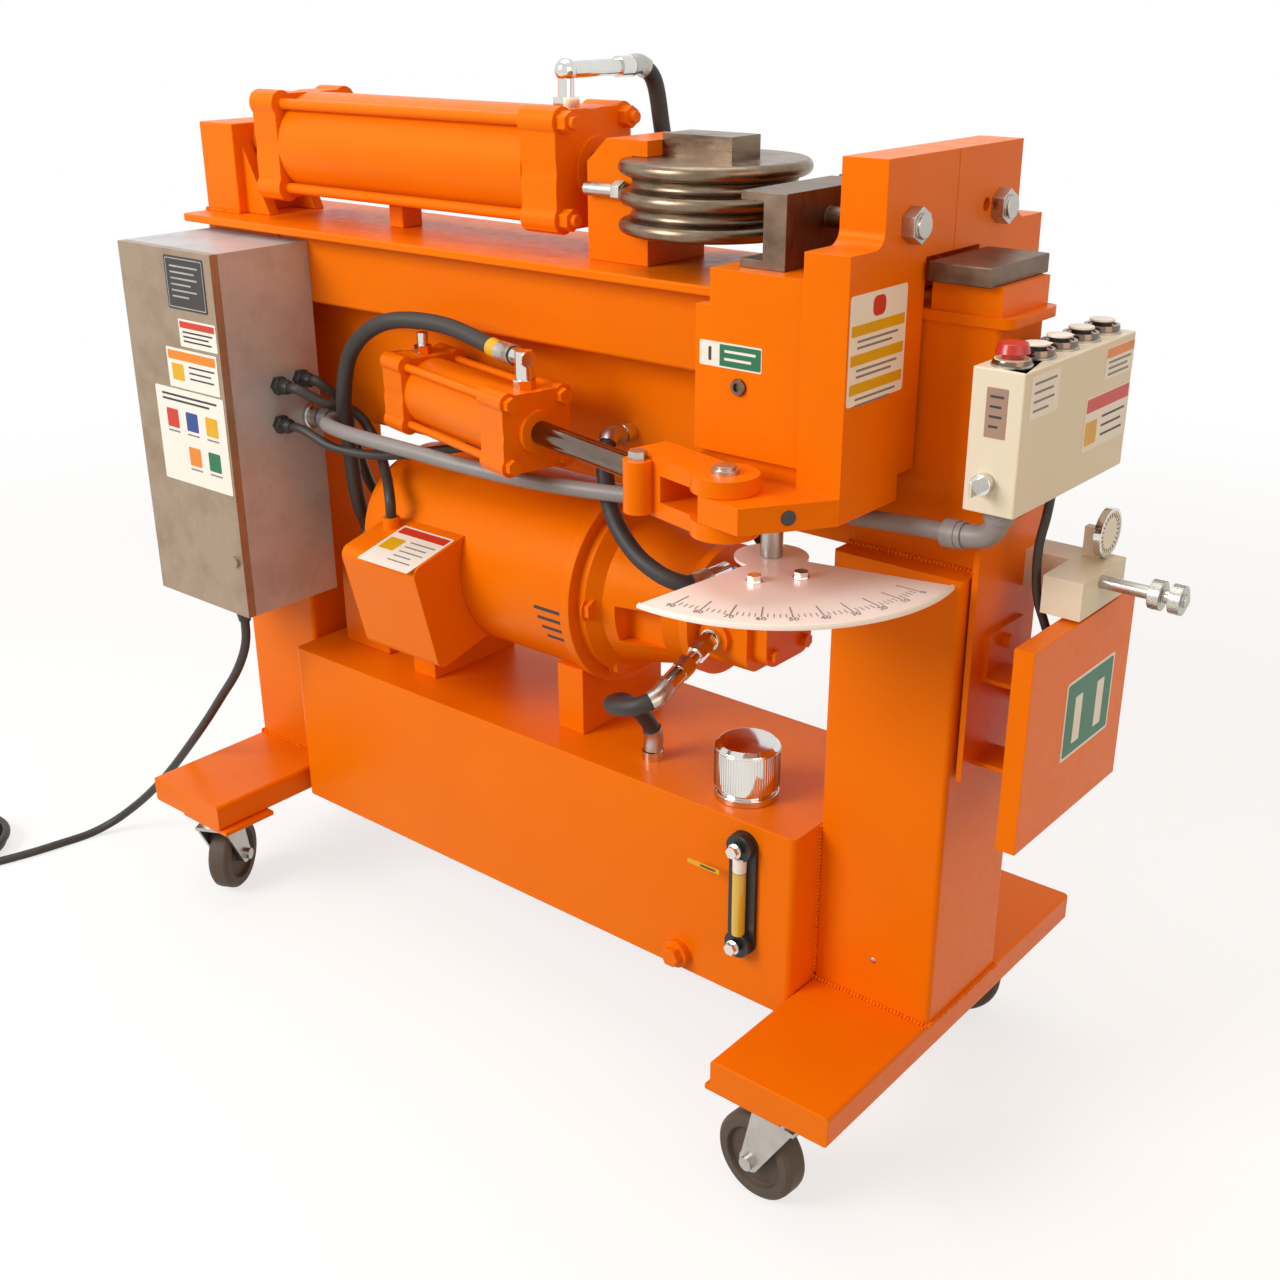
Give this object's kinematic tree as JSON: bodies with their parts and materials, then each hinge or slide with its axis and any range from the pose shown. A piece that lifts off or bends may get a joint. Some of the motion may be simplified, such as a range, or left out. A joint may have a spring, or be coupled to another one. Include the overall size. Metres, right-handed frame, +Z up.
{
  "type": "hydraulic pipe bender",
  "caption": "Wheeled hydraulic pipe bender: a horizontal ram pushes a radius die between swinging gates with back shoes, fed by a tank-top pump.",
  "frame": {"origin": "on the floor, in the middle of the machine's box without its power cord", "axes": "+X along the machine toward the control end, +Y to the rear, +Z up"},
  "size_m": [2.149, 1.0733, 1.4117],
  "materials": {
    "safety_orange": "gloss",
    "tool_steel": "worn",
    "zinc_steel": "satin",
    "chrome": "bright",
    "stainless": "brushed",
    "cream_paint": "satin",
    "black_plastic": "matte",
    "red_plastic": "gloss",
    "black_rubber": "matte",
    "grey_conduit": "matte",
    "clear_scale": "satin",
    "wheel_rubber": "matte"
  },
  "bodies": {
    "frame": {"base_feet": "safety_orange", "oil_tank": "safety_orange", "sight_gauge": "black_plastic", "column_left": "safety_orange", "column_right": "safety_orange", "main_beam": "safety_orange", "table_plate": "safety_orange", "head_lugs": "safety_orange", "nose_plate": "tool_steel", "pivot_pins": "zinc_steel", "ram_bracket": "safety_orange", "ram_heads": "safety_orange", "ram_barrel": "safety_orange", "pipe_fittings": "chrome", "motor_housing": "safety_orange", "motor_terminal_box": "safety_orange", "hydraulic_pump": "safety_orange", "valve_manifold": "safety_orange", "hydraulic_hoses": "black_rubber", "control_conduit": "grey_conduit", "cabinet_cables": "black_rubber", "cabinet_box": "stainless", "motor_starter": "black_plastic", "control_box": "cream_paint", "guard_panel": "safety_orange", "depth_block": "cream_paint", "protractor": "clear_scale", "power_cord": "black_rubber", "cord_coil": "black_rubber", "cord_plug": "black_rubber"},
    "ram": {"ram_rod": "chrome", "die_holder": "safety_orange", "radius_die": "tool_steel"},
    "gate_front": {"gate_front": "safety_orange", "gate_front_shoe": "tool_steel"},
    "gate_rear": {"gate_rear": "safety_orange", "gate_rear_shoe": "tool_steel"},
    "gate_front_cylinder": {"gate_front_cylinder": "safety_orange"},
    "gate_rear_cylinder": {"gate_rear_cylinder": "safety_orange"},
    "gate_front_rod": {"gate_front_rod": "zinc_steel"},
    "gate_rear_rod": {"gate_rear_rod": "zinc_steel"},
    "cabinet_door": {"cabinet_door": "stainless"},
    "breather_cap": {"breather_cap": "chrome"},
    "stop_button": {"stop_button": "red_plastic"},
    "start_button": {"start_button": "black_plastic"},
    "forward_button": {"forward_button": "black_plastic"},
    "return_button": {"return_button": "black_plastic"},
    "gate_button": {"gate_button": "black_plastic"},
    "key_switch": {"key_switch": "chrome"},
    "valve_lever": {"valve_lever": "black_plastic"},
    "depth_knob": {"depth_knob": "zinc_steel"},
    "motor_rotor": {"motor_rotor": "zinc_steel"},
    "caster_fork_front_right": {"caster_fork_front_right": "zinc_steel"},
    "caster_wheel_front_right": {"caster_wheel_front_right": "wheel_rubber"},
    "caster_fork_front_left": {"caster_fork_front_left": "zinc_steel"},
    "caster_wheel_front_left": {"caster_wheel_front_left": "wheel_rubber"},
    "caster_fork_rear_right": {"caster_fork_rear_right": "zinc_steel"},
    "caster_wheel_rear_right": {"caster_wheel_rear_right": "wheel_rubber"},
    "caster_fork_rear_left": {"caster_fork_rear_left": "zinc_steel"},
    "caster_wheel_rear_left": {"caster_wheel_rear_left": "wheel_rubber"}
  },
  "joints": [
    {"name": "ram_slide", "type": "slide", "parent": "frame", "child": "ram", "axis": [1, 0, 0], "range_m": [0, 0.14]},
    {"name": "gate_front_swing", "type": "hinge", "parent": "frame", "child": "gate_front", "pos_m": [0.3695, -0.15, 1.06], "axis": [0, 0, 1], "range_deg": [-75.05, 0]},
    {"name": "gate_front_cylinder_pivot", "type": "hinge", "parent": "frame", "child": "gate_front_cylinder", "pos_m": [-0.3555, -0.092, 0.953], "axis": [0, 0, 1], "range_deg": [0, 3.9]},
    {"name": "gate_front_rod_slide", "type": "slide", "parent": "gate_front_cylinder", "child": "gate_front_rod", "axis": [0.9723, -0.2336, 0], "range_m": [-0.1405, 0]},
    {"name": "gate_rear_swing", "type": "hinge", "parent": "frame", "child": "gate_rear", "pos_m": [0.3695, 0.15, 1.06], "axis": [0, 0, 1], "range_deg": [0, 75.05]},
    {"name": "gate_rear_cylinder_pivot", "type": "hinge", "parent": "frame", "child": "gate_rear_cylinder", "pos_m": [-0.3555, 0.092, 0.953], "axis": [0, 0, 1], "range_deg": [-3.9, 0]},
    {"name": "gate_rear_rod_slide", "type": "slide", "parent": "gate_rear_cylinder", "child": "gate_rear_rod", "axis": [0.9723, 0.2336, 0], "range_m": [-0.1405, 0]},
    {"name": "caster_swivel_front_right", "type": "hinge", "parent": "frame", "child": "caster_fork_front_right", "pos_m": [0.5045, -0.275, 0.15], "axis": [0, 0, 1], "continuous": true},
    {"name": "caster_roll_front_right", "type": "hinge", "parent": "caster_fork_front_right", "child": "caster_wheel_front_right", "pos_m": [0.46664, -0.27169, 0.0635], "axis": [-0.0872, -0.9962, 0], "continuous": true},
    {"name": "caster_swivel_front_left", "type": "hinge", "parent": "frame", "child": "caster_fork_front_left", "pos_m": [-0.7055, -0.275, 0.15], "axis": [0, 0, 1], "continuous": true},
    {"name": "caster_roll_front_left", "type": "hinge", "parent": "caster_fork_front_left", "child": "caster_wheel_front_left", "pos_m": [-0.72334, -0.24145, 0.0635], "axis": [-0.8829, -0.4695, 0], "continuous": true},
    {"name": "caster_swivel_rear_right", "type": "hinge", "parent": "frame", "child": "caster_fork_rear_right", "pos_m": [0.5045, 0.275, 0.15], "axis": [0, 0, 1], "continuous": true},
    {"name": "caster_roll_rear_right", "type": "hinge", "parent": "caster_fork_rear_right", "child": "caster_wheel_rear_right", "pos_m": [0.46879, 0.262, 0.0635], "axis": [0.342, -0.9397, 0], "continuous": true},
    {"name": "caster_swivel_rear_left", "type": "hinge", "parent": "frame", "child": "caster_fork_rear_left", "pos_m": [-0.7055, 0.275, 0.15], "axis": [0, 0, 1], "continuous": true},
    {"name": "caster_roll_rear_left", "type": "hinge", "parent": "caster_fork_rear_left", "child": "caster_wheel_rear_left", "pos_m": [-0.69566, 0.31171, 0.0635], "axis": [-0.9659, 0.2588, 0], "continuous": true},
    {"name": "stop_press", "type": "slide", "parent": "frame", "child": "stop_button", "axis": [0, 0, -1], "range_m": [0, 0.005], "stiffness_N_per_m": 500},
    {"name": "start_press", "type": "slide", "parent": "frame", "child": "start_button", "axis": [0, 0, -1], "range_m": [0, 0.005], "stiffness_N_per_m": 500},
    {"name": "forward_press", "type": "slide", "parent": "frame", "child": "forward_button", "axis": [0, 0, -1], "range_m": [0, 0.005], "stiffness_N_per_m": 500},
    {"name": "return_press", "type": "slide", "parent": "frame", "child": "return_button", "axis": [0, 0, -1], "range_m": [0, 0.005], "stiffness_N_per_m": 500},
    {"name": "gate_press", "type": "slide", "parent": "frame", "child": "gate_button", "axis": [0, 0, -1], "range_m": [0, 0.005], "stiffness_N_per_m": 500},
    {"name": "key_turn", "type": "hinge", "parent": "frame", "child": "key_switch", "pos_m": [0.6425, -0.14, 0.995], "axis": [0, 1, 0], "range_deg": [0, 90]},
    {"name": "lever_swing", "type": "hinge", "parent": "frame", "child": "valve_lever", "pos_m": [0.668, 0.066, 0.665], "axis": [1, 0, 0], "range_deg": [-20, 20], "stiffness_Nm_per_rad": 4},
    {"name": "depth_turn", "type": "hinge", "parent": "frame", "child": "depth_knob", "pos_m": [0.7005, 0.022, 0.851], "axis": [1, 0, 0], "continuous": true},
    {"name": "door_swing", "type": "hinge", "parent": "frame", "child": "cabinet_door", "pos_m": [-0.79, -0.25865, 0.9], "axis": [0, 0, 1], "range_deg": [-120, 0]},
    {"name": "cap_turn", "type": "hinge", "parent": "frame", "child": "breather_cap", "pos_m": [0.2945, -0.085, 0.48], "axis": [0, 0, 1], "range_deg": [0, 90]},
    {"name": "rotor_spin", "type": "hinge", "parent": "frame", "child": "motor_rotor", "pos_m": [-0.1005, 0, 0.69], "axis": [1, 0, 0], "continuous": true}
  ],
  "couplings": [
    {"joint": "gate_front_swing", "follows": "ram_slide", "rad_per_m": -9.35},
    {"joint": "gate_front_cylinder_pivot", "follows": "ram_slide", "rad_per_m": 0.47815},
    {"joint": "gate_front_rod_slide", "follows": "ram_slide", "ratio": -1.0001},
    {"joint": "gate_rear_swing", "follows": "ram_slide", "rad_per_m": 9.35},
    {"joint": "gate_rear_cylinder_pivot", "follows": "ram_slide", "rad_per_m": -0.47815},
    {"joint": "gate_rear_rod_slide", "follows": "ram_slide", "ratio": -1.0001}
  ]
}
